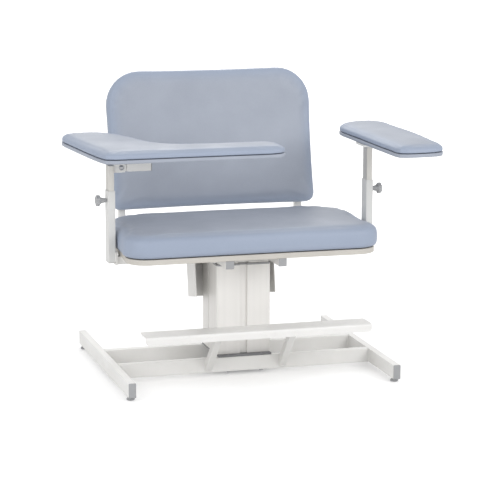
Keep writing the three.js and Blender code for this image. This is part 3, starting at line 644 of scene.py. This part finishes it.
def smooth_places(piece, times):
    shape = bmesh.new()
    shape.from_mesh(piece.data)
    for _ in range(times):
        bmesh.ops.smooth_vert(shape, verts=shape.verts, factor=smoothing_strength,
                              use_axis_x=True, use_axis_y=True, use_axis_z=True)
    shape.to_mesh(piece.data)
    shape.free()


def subdivide_once(piece):
    modifier = piece.modifiers.new("fine", "SUBSURF")
    modifier.levels = 1
    modifier.render_levels = 1
    apply_modifiers(piece)


# Cushions and arm pads

def swell(piece, held, limit):
    """Blows the piece up like a filled cover, held at its foot, and caps each point's move."""
    scene = bpy.context.scene
    before = vertex_vectors(piece.data, "co")
    normals = vertex_vectors(piece.data, "normal")
    group = piece.vertex_groups.new(name="held")
    group.add([int(i) for i in np.nonzero(held)[0]], 1.0, "REPLACE")
    cloth = piece.modifiers.new("cover", "CLOTH")
    settings = cloth.settings
    settings.quality = cover_quality
    settings.mass = cover_mass
    settings.tension_stiffness = cover_stretch_stiffness
    settings.compression_stiffness = cover_stretch_stiffness
    settings.shear_stiffness = cover_shear_stiffness
    settings.bending_stiffness = cover_bending_stiffness
    settings.use_pressure = True
    settings.uniform_pressure_force = cover_pressure
    settings.vertex_group_mass = group.name
    settings.effector_weights.gravity = 0.0
    cloth.point_cache.frame_start = 1
    cloth.point_cache.frame_end = settle_frames
    for step in range(1, settle_frames + 1):
        scene.frame_set(step)
    swollen = baked_mesh(piece)
    after = vertex_vectors(swollen, "co")
    bpy.data.meshes.remove(swollen)
    piece.modifiers.clear()
    piece.vertex_groups.clear()
    scene.frame_set(1)
    moved = after - before
    outward = np.sum(moved * normals, axis=1)
    slide = moved - normals * outward[:, None]
    moved = normals * np.maximum(outward, -inward_limit)[:, None] + slide * slide_share
    distance = np.linalg.norm(moved, axis=1)
    kept = limit * np.tanh(distance / limit)
    scale = np.where(distance > smallest_move, kept / np.maximum(distance, smallest_move), 0.0)
    set_places(piece.data, before + moved * scale[:, None])


def dress_cover(piece, outward, thick, foot, fold, softness):
    """Pull folds gathered at the rounded corners, and the slight unevenness of foam below."""
    places = vertex_vectors(piece.data, "co")
    normals = vertex_vectors(piece.data, "normal")
    across = np.array((1.0, 0.0, 0.0))
    along = np.cross(outward, across)
    rise = np.clip((places @ outward - foot) / thick, 0, 1)
    right = normals @ across
    back = normals @ along
    flat = np.hypot(right, back)
    turn = np.arctan2(back, right)
    corner = np.clip(2 * np.abs(right * back) / np.maximum(flat * flat, smallest_lean), 0, 1)
    side = np.clip(flat * fold_side_slope - fold_side_start, 0, 1)
    low = np.clip(1 - rise / fold_top_share, 0, 1)
    wander = fold_wander * np.sin(turn * fold_wanders_per_turn)
    wave = 0.5 - 0.5 * np.cos(turn * folds_per_turn + wander)
    depth = fold * corner ** fold_corner_sharpness * side * low * wave
    top = np.clip((normals @ outward) * softness_slope - softness_start, 0, 1)
    uneven = np.array([noise.noise(Vector(place) / softness_size) for place in places])
    shift = softness * top * uneven - depth
    set_places(piece.data, places + normals * shift[:, None])


def inset_from_wall(piece, outward):
    """How far each point lies inside the piece's side wall, seen along the way that it faces."""
    places = vertex_vectors(piece.data, "co")
    normals = vertex_vectors(piece.data, "normal")
    flat = places - (places @ outward)[:, None] * outward
    wall = flat[np.abs(normals @ outward) < wall_lean]
    tree = kdtree.KDTree(len(wall))
    for index, place in enumerate(wall):
        tree.insert(place, index)
    tree.balance()
    return np.array([tree.find(place)[2] for place in flat])


def mark_rim_shade(piece, outward):
    """Marks the side wall strongest, fading out over the rim, for the painted shade in the cloth's
    colour.
    """
    inset = inset_from_wall(piece, outward)
    rim = piece.data.attributes.new("rim", "FLOAT", "POINT")
    # Painted shade: the cloth gets a bluer, darker colour where this is strongest
    rim.data.foreach_set("value", rim_shade_strength * np.exp(-(inset / rim_shade_fade) ** 2))


def dome_pad(piece, foot, thick):
    """Lets an arm pad's top rise in its middle and fall at its rim, and brings its foot out."""
    places = vertex_vectors(piece.data, "co")
    normals = vertex_vectors(piece.data, "normal")
    inset = inset_from_wall(piece, np.array(up))
    share = np.clip((places[:, 2] - foot) / thick * 2 - 1, 0, 1)
    dome = pad_dome * (1 - np.exp(-(inset / pad_dome_reach) ** 2))
    fall = pad_rim_fall * np.exp(-(inset / pad_rim_reach) ** 2)
    low = np.clip(1 - (places[:, 2] - foot) / pad_foot_high, 0, 1)
    places[:, 2] += share * (dome - fall)
    places[:, :2] += normals[:, :2] * (pad_foot_bulge * low)[:, None]
    set_places(piece.data, places)


def rest_on_plane(piece, outward, foot):
    """Flattens whatever has gone below the plane that the cushion rests on."""
    places = vertex_vectors(piece.data, "co")
    below = np.minimum(places @ outward - foot, 0)
    set_places(piece.data, places - below[:, None] * outward)


def cushion(name, node, body, outward, voxel, shrink, limit, fill, folds, softness):
    """Padded piece that stands for a CAD cushion: remeshed, blown up, capped and dressed."""
    outward = np.array(outward)
    shape = merged_copy(node)
    shape.normal_update()
    heights = np.array([vert.co for vert in shape.verts]) @ outward
    foot = float(heights.min())
    thick = float(heights.max()) - foot
    for vert in shape.verts:
        vert.co -= vert.normal * shrink
    piece = add_piece(name, shape, upholstery, body)
    remesh(piece, voxel)
    smooth_places(piece, 2)
    above_foot = vertex_vectors(piece.data, "co") @ outward - foot
    swell(piece, above_foot < shrink + foot_skin, limit)
    smooth_places(piece, 2)
    subdivide_once(piece)
    if node.endswith("arm_pad"):
        dome_pad(piece, foot, thick)
    dress_cover(piece, outward, thick, foot, folds, softness)
    rest_on_plane(piece, outward, foot)
    mark_rim_shade(piece, outward)
    shade_smooth(piece.data)
    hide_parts(node)


def wrapped_board(name, node, body):
    """Board wrapped in the same cloth, with its corners softened and its top edge brought out."""
    piece = add_piece(name, merged_copy(node), upholstery, body)
    remesh(piece, board_voxel)
    smooth_places(piece, 1)
    places = vertex_vectors(piece.data, "co")
    near_top = np.clip(1 - (places[:, 2].max() - places[:, 2]) / board_edge_high, 0, 1)
    outward = vertex_vectors(piece.data, "normal")[:, :2]
    places[:, :2] += outward * (board_edge_bulge * near_top)[:, None]
    set_places(piece.data, places)
    shade_smooth(piece.data)
    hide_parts(node)


seat_cover = {
    "voxel": seat_voxel, "shrink": seat_shrink, "limit": seat_swell_limit, "fill": seat_fill,
    "folds": fold_depth, "softness": softness_depth,
}
pad_cover = {
    "voxel": pad_voxel, "shrink": pad_shrink, "limit": pad_swell_limit, "fill": pad_fill,
    "folds": fold_depth / 3, "softness": softness_depth / 2,
}
cushion("seat_upholstery", "seat_cushion", "seat_carriage", up, **seat_cover)
cushion("back_upholstery", "back_cushion", "seat_carriage", towards_sitter, **seat_cover)
cushion("right_pad_upholstery", "right_arm_pad", "right_arm", up, **pad_cover)
cushion("flip_pad_upholstery", "flip_arm_pad", "flip_arm", up, **pad_cover)
wrapped_board("right_pad_wrapped_board", "right_pad_board", "right_arm")
wrapped_board("flip_pad_wrapped_board", "flip_pad_board", "flip_arm")


# Hardware

def put(shape, place, matrix=None):
    """Turns a bmesh about the origin, where it has to be turned, and moves it to its place."""
    if matrix is not None:
        bmesh.ops.transform(shape, matrix=matrix, verts=shape.verts)
    bmesh.ops.translate(shape, vec=Vector(place), verts=shape.verts)
    return shape


def turned(profile, place=(0, 0, 0), matrix=None):
    """Bmesh of a turned form: pairs of radius and height, spun about Z and put in place."""
    shape = bmesh.new()
    points = [shape.verts.new((radius, 0.0, height)) for radius, height in profile]
    edges = [shape.edges.new(pair) for pair in zip(points, points[1:])]
    bmesh.ops.spin(shape, geom=points + edges, cent=(0, 0, 0), axis=(0, 0, 1), dvec=(0, 0, 0),
                   angle=2 * math.pi, steps=round_steps, use_merge=True, use_duplicate=False)
    bmesh.ops.remove_doubles(shape, verts=shape.verts, dist=turned_merge_distance)
    bmesh.ops.recalc_face_normals(shape, faces=shape.faces)
    return put(shape, place, matrix)


def round_edges(shape, edges, offset, segments=2):
    bmesh.ops.bevel(shape, geom=edges, offset=offset, segments=segments, profile=0.5,
                    affect="EDGES", material=-1)


def hexagon(radius, high, rim_round, place, both_rims=True):
    """Bmesh of a hexagon about a place, with its upper rim or both rims rounded."""
    shape = bmesh.new()
    bmesh.ops.create_cone(shape, cap_ends=True, segments=6, radius1=radius, radius2=radius,
                          depth=high)
    rims = [edge for edge in shape.edges if edge.calc_face_angle(0.0) > square_edge_angle
            and (both_rims or min(vert.co.z for vert in edge.verts) > 0)]
    round_edges(shape, rims, rim_round)
    return put(shape, place)


def join_shapes(*shapes):
    """One bmesh out of several."""
    whole = bmesh.new()
    for shape in shapes:
        mesh = bpy.data.meshes.new("part")
        shape.to_mesh(mesh)
        shape.free()
        whole.from_mesh(mesh)
        bpy.data.meshes.remove(mesh)
    return whole


def lobed_head(radius, thick):
    """Knob head along +Z: a lobed disc with rounded rims and round steps in its face."""
    shape = bmesh.new()
    steps = knob_lobes * knob_steps_per_lobe
    bmesh.ops.create_circle(shape, cap_ends=True, radius=radius, segments=steps)
    for vert in shape.verts:
        angle = math.atan2(vert.co.y, vert.co.x)
        reach = radius + knob_lobe_depth * math.cos(knob_lobes * angle)
        vert.co = Vector((math.cos(angle) * reach, math.sin(angle) * reach, 0.0))
    face = shape.faces[:][0]
    raised = bmesh.ops.extrude_face_region(shape, geom=[face])["geom"]
    lifted = [element for element in raised if isinstance(element, bmesh.types.BMVert)]
    bmesh.ops.translate(shape, vec=(0, 0, thick), verts=lifted)
    bmesh.ops.recalc_face_normals(shape, faces=shape.faces)
    rims = [edge for edge in shape.edges if edge.calc_face_angle(0.0) > knob_rim_angle]
    round_edges(shape, rims, knob_rim_round, segments=4)
    faces = [face for face in shape.faces if len(face.verts) > 4]
    top = max(faces, key=lambda face: face.calc_center_median().z)
    for ring_radius, drop in knob_face_rings:
        bmesh.ops.inset_individual(shape, faces=[top], thickness=knob_ring_inset, depth=0.0)
        for vert in top.verts:
            angle = math.atan2(vert.co.y, vert.co.x)
            vert.co.x = math.cos(angle) * ring_radius
            vert.co.y = math.sin(angle) * ring_radius
            vert.co.z -= drop
    bmesh.ops.poke(shape, faces=faces)
    return shape


def clamp_knob(side):
    """Clamp knob in the place of its CAD node, with its hub and stud."""
    node = f"{side}_clamp_knob"
    low, high = corners(node)
    centre = (low + high) / 2
    outward = 1 if side == "right" else -1
    place = (low.x if outward > 0 else high.x, centre.y, centre.z)
    turn = Matrix.Rotation(outward * math.pi / 2, 4, "Y")
    head_foot = high.x - low.x - knob_head_thick
    hub_foot = head_foot - knob_hub_long
    stud_end = hub_foot + stud_overlap
    head = lobed_head((high.z - low.z) / 2 - knob_lobe_depth, knob_head_thick)
    head = put(put(head, (0, 0, head_foot)), place, turn)
    hub = turned([(reach, hub_foot + rise) for reach, rise in knob_hub_profile], place, turn)
    stud = turned([*stud_tip_profile, (stud_radius, stud_end), (0, stud_end)], place, turn)
    body = f"{side}_knob"
    piece = add_piece(f"{side}_knob_moulding", join_shapes(head, hub), knob_plastic, body)
    crease_sharp_edges(piece)
    screw = add_piece(f"{side}_knob_stud", stud, plated_steel, body)
    crease_sharp_edges(screw)
    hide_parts(node)
    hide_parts(node)


def levelling_glide(node):
    """Round levelling foot: a moulded pad, a hexagon above it and the stem into the runner."""
    low, high = corners(node)
    centre = (low + high) / 2
    radius = (high.x - low.x) / 2
    full = high.z - low.z
    place = Vector((centre.x, centre.y, low.z))
    rim = [(radius - inward, height) for inward, height in glide_rim_profile]
    pad = turned([(0, 0), *rim, *glide_neck_profile], place)
    stem = turned([(0, glide_stem_foot), (glide_stem_radius, glide_stem_foot),
                   (glide_stem_radius, full), (0, full)], place)
    nut = hexagon(glide_nut_radius, glide_nut_high, glide_nut_round,
                  place + Vector((0, 0, glide_nut_middle)))
    foot = add_piece(f"{node}_pad", pad, cap_plastic, "base")
    crease_sharp_edges(foot)
    screw = add_piece(f"{node}_stem", join_shapes(stem, nut), plated_steel, "base")
    crease_sharp_edges(screw)
    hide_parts(node)
    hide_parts(node)


for side in ("left", "right"):
    clamp_knob(side)
    for end in ("front", "rear"):
        levelling_glide(f"{side}_{end}_glide")


def add_fasteners(name, shapes, body):
    piece = add_piece(name, join_shapes(*shapes), plated_steel, body)
    crease_sharp_edges(piece)


def screw_from_below(x, y, z):
    """Bmesh of a pan-head screw whose head hangs from the face that it clamps."""
    slot_foot = screw_head_high - screw_slot_deep
    head = [(screw_head_radius * across, screw_head_high * rise)
            for across, rise in screw_head_shares]
    slot = [(screw_slot_radius, screw_head_high), (screw_slot_radius * screw_slot_taper, slot_foot),
            (0, slot_foot)]
    return turned([(0, 0), *head, *slot], (x, y, z), facing_down)


def plate_screws(node, body):
    """Four screws up through a pad's plate."""
    low, high = corners(node)
    screws = []
    for x in (low.x + pad_plate_screw_edge, high.x - pad_plate_screw_edge):
        for y in (low.y + pad_plate_screw_edge, high.y - pad_plate_screw_edge):
            screws.append(screw_from_below(x, y, low.z))
    add_fasteners(f"{node}_screws", screws, body)


def hexagon_bolt(place, direction):
    """Bmesh of a hexagon bolt head on its washer, standing out from a face in a direction."""
    washer = turned([
        (0, 0), (washer_radius - washer_foot_round, 0), (washer_radius, washer_foot_round),
        (washer_radius, washer_thick - washer_top_round),
        (washer_radius - washer_top_round, washer_thick), (0, washer_thick),
    ])
    head = hexagon(hexagon_radius, hexagon_high, hexagon_round,
                   (0, 0, washer_thick + hexagon_high / 2), both_rims=False)
    turn = Vector(direction).to_track_quat("Z", "Y").to_matrix().to_4x4()
    return put(join_shapes(washer, head), place, turn)


def upright_bolts():
    """Bolts through the uprights into the back board, with their heads behind."""
    behind = Vector((0.0, math.cos(back_lean), -math.sin(back_lean)))
    bolts = []
    for node in ("left_back_upright", "right_back_upright"):
        low, high = corners(node)
        reach = max(vert.co.dot(behind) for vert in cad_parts[node].data.vertices)
        for drop in upright_bolt_drops:
            z = high.z - drop
            y = (reach + z * math.sin(back_lean)) / math.cos(back_lean)
            bolts.append(hexagon_bolt(((low.x + high.x) / 2, y, z), behind))
    add_fasteners("back_board_bolts", bolts, "seat_carriage")


def seat_screws():
    """Screws up through the seat tubes and the outriggers into the seat board."""
    board_low, board_high = corners("seat_board")
    screws = []
    for side in ("left", "right"):
        low, high = corners(f"{side}_seat_tube")
        for y in (board_low.y + board_screw_edge, board_high.y - board_screw_edge):
            screws.append(screw_from_below((low.x + high.x) / 2, y, low.z))
        low, high = corners(f"{side}_arm_outrigger")
        for edge in outrigger_screw_edges:
            x = board_low.x + edge if side == "left" else board_high.x - edge
            screws.append(screw_from_below(x, (low.y + high.y) / 2, low.z))
    add_fasteners("seat_board_screws", screws, "seat_carriage")


plate_screws("right_pad_plate", "right_arm")
plate_screws("flip_pad_plate", "flip_arm")
upright_bolts()
seat_screws()


# Welds

def weld_bead(start, end, radius):
    """Bmesh of a straight weld bead: a rippled bar that narrows towards its ends."""
    long = (end - start).length
    bead = bmesh.new()
    bmesh.ops.create_cone(bead, cap_ends=True, segments=bead_sides, radius1=radius,
                          radius2=radius, depth=long)
    lengthwise = [edge for edge in bead.edges
                  if abs(edge.verts[0].co.z - edge.verts[1].co.z) > long / 2]
    cuts = round(long / bead_pitch * bead_steps_per_pitch)
    bmesh.ops.subdivide_edges(bead, edges=lengthwise, cuts=cuts)
    for vert in bead.verts:
        from_end = long / 2 - abs(vert.co.z)
        width = min(1.0, bead_end_share + from_end / bead_taper)
        width *= 1 + bead_ripple * math.cos(vert.co.z * 2 * math.pi / bead_pitch)
        vert.co.x *= width
        vert.co.y *= width
    turn = (end - start).to_track_quat("Z", "Y").to_matrix().to_4x4()
    return put(bead, (start + end) / 2, turn)


def weld_seams(low, high, sides, radius=fillet_radius):
    """Beads along sides of a flat rectangle where two parts meet. A side is a sign and an axis."""
    flat = min(range(3), key=lambda axis: high[axis] - low[axis])
    beads = []
    for sign, letter in sides:
        along = 3 - flat - "xyz".index(letter)
        start = (low if sign == "-" else high).copy()
        start[flat] = (low[flat] + high[flat]) / 2
        end = start.copy()
        start[along] = low[along] + seam_end_gap
        end[along] = high[along] - seam_end_gap
        beads.append(weld_bead(start, end, radius))
    return beads


def end_face(node, letter, sign):
    """Lowest and highest corners of the face that a node ends in, along an axis."""
    axis = "xyz".index(letter)
    places = [vert.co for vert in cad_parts[node].data.vertices]
    reach = max(sign * place[axis] for place in places)
    face = [place for place in places if sign * place[axis] > reach - end_face_depth]
    low = Vector([min(place[i] for place in face) for i in range(3)])
    high = Vector([max(place[i] for place in face) for i in range(3)])
    return low, high


def add_welds(name, beads, body):
    piece = add_piece(name, join_shapes(*beads), paint, body)


# All four sides of a face, by the axis that it looks along
all_round = {
    "x": ("-y", "+y", "-z", "+z"),
    "y": ("-x", "+x", "-z", "+z"),
    "z": ("-x", "+x", "-y", "+y"),
}


def floor_frame_welds():
    beads = []
    for node in ("front_cross_tube", "rear_cross_tube"):
        for sign in (-1, 1):
            low, high = end_face(node, "x", sign)
            beads += weld_seams(low, high, ("-y", "+y"))
            beads += weld_seams(low, high, ("-z", "+z"), seam_radius)
    for node in ("left_footrest_strut", "right_footrest_strut"):
        beads += weld_seams(*end_face(node, "y", 1), all_round["y"])
        beads += weld_seams(*end_face(node, "z", 1), all_round["z"], light_fillet_radius)
    add_welds("floor_frame_welds", beads, "base")


def seat_frame_welds():
    beads = []
    for sign in (-1, 1):
        beads += weld_seams(*end_face("rear_seat_rail", "x", sign), all_round["x"])
    for side, outward in (("left", -1), ("right", 1)):
        outrigger = f"{side}_arm_outrigger"
        beads += weld_seams(*end_face(f"{side}_seat_tube", "y", 1), all_round["y"])
        beads += weld_seams(*end_face(outrigger, "x", -outward), ("-y", "+y", "-z"))
        low, high = end_face(outrigger, "x", outward)
        low.z = corners(f"{side}_arm_sleeve")[0].z
        beads += weld_seams(low, high, ("-y", "+y", "+z"))
    add_welds("seat_frame_welds", beads, "seat_carriage")


def arm_welds():
    beads = weld_seams(*end_face("right_arm_post", "z", 1), all_round["z"], light_fillet_radius)
    add_welds("right_pad_plate_weld", beads, "right_arm")
    beads = weld_seams(*end_face("hinge_bracket", "x", -1), ("-y", "+y", "-z"), light_fillet_radius)
    add_welds("hinge_bracket_weld", beads, "left_arm")
    low, high = end_face("flip_arm_bar", "z", 1)
    plate_low, plate_high = corners("flip_pad_plate")
    low.x = max(low.x, plate_low.x)
    high.x = min(high.x, plate_high.x)
    beads = weld_seams(low, high, ("-y", "+y"), light_fillet_radius)
    add_welds("flip_pad_plate_weld", beads, "flip_arm")


floor_frame_welds()
seat_frame_welds()
arm_welds()


# Stage

def add_floor():
    """White floor that the camera sees brighter the further away it is, so that it has no edge."""
    shape = bmesh.new()
    bmesh.ops.create_grid(shape, x_segments=1, y_segments=1, size=floor_reach)
    mesh = bpy.data.meshes.new("floor")
    shape.to_mesh(mesh)
    shape.free()
    floor = bpy.data.objects.new("floor", mesh)
    bpy.context.scene.collection.objects.link(floor)
    material = bpy.data.materials.new("white_floor")
    material.use_nodes = True
    tree = material.node_tree
    shader = tree.nodes["Principled BSDF"]
    shader.inputs["Base Color"].default_value = floor_colour
    shader.inputs["Roughness"].default_value = floor_roughness
    shader.inputs["Specular IOR Level"].default_value = floor_specular
    shader.inputs["Emission Color"].default_value = white
    path = tree.nodes.new("ShaderNodeLightPath")
    place = tree.nodes.new("ShaderNodeTexCoord").outputs["Object"]
    away = tree.nodes.new("ShaderNodeVectorMath")
    away.operation = "LENGTH"
    tree.links.new(place, away.inputs[0])
    lift = range_node(
        tree, away.outputs["Value"], near_floor, far_floor, floor_lift, far_floor_lift)
    lift = math_node(tree, "MULTIPLY", path.outputs["Is Camera Ray"], lift)
    tree.links.new(lift, shader.inputs["Emission Strength"])
    mesh.materials.append(material)


def add_world():
    """White surroundings, pure white where they are seen and a little weaker as light."""
    world = bpy.data.worlds.new("studio")
    bpy.context.scene.world = world
    world.use_nodes = True
    tree = world.node_tree
    background = tree.nodes["Background"]
    path = tree.nodes.new("ShaderNodeLightPath").outputs
    seen = math_node(tree, "MAXIMUM", path["Is Camera Ray"], path["Is Transmission Ray"])
    seen = math_node(tree, "MAXIMUM", seen, path["Is Glossy Ray"])
    strength = range_node(tree, seen, 0.0, 1.0, world_strength, 1.0)
    background.inputs["Color"].default_value = white
    tree.links.new(strength, background.inputs["Strength"])


def add_lamp(name, place, size, power):
    data = bpy.data.lights.new(name, "AREA")
    data.shape = "DISK"
    data.size = size
    data.energy = power
    lamp = bpy.data.objects.new(name, data)
    bpy.context.scene.collection.objects.link(lamp)
    lamp.location = Vector(place)
    lamp.rotation_mode = "QUATERNION"
    lamp.rotation_quaternion = (lamp_target - lamp.location).to_track_quat("-Z", "Y")


def add_camera():
    """Camera with its place measured from the middle of the floor frame."""
    data = bpy.data.cameras.new("camera")
    data.lens = camera_lens
    data.sensor_width = camera_sensor_width
    camera = bpy.data.objects.new("camera", data)
    bpy.context.scene.collection.objects.link(camera)
    left_low, left_high = corners("left_runner")
    right_high = corners("right_runner")[1]
    middle = Vector(((left_low.x + right_high.x) / 2, (left_low.y + left_high.y) / 2, 0.0))
    turn = Matrix.Rotation(-camera_yaw, 4, "Z")
    tilt = Matrix.Rotation(math.pi / 2 + camera_pitch, 4, "X")
    roll = Matrix.Rotation(camera_roll, 4, "Z")
    place = Matrix.Translation(middle + camera_from_floor_frame)
    camera.matrix_world = place @ turn @ tilt @ roll
    bpy.context.scene.camera = camera


add_floor()
add_world()
for lamp in lamps:
    add_lamp(*lamp)
add_camera()

scene = bpy.context.scene
scene.view_settings.view_transform = "Standard"
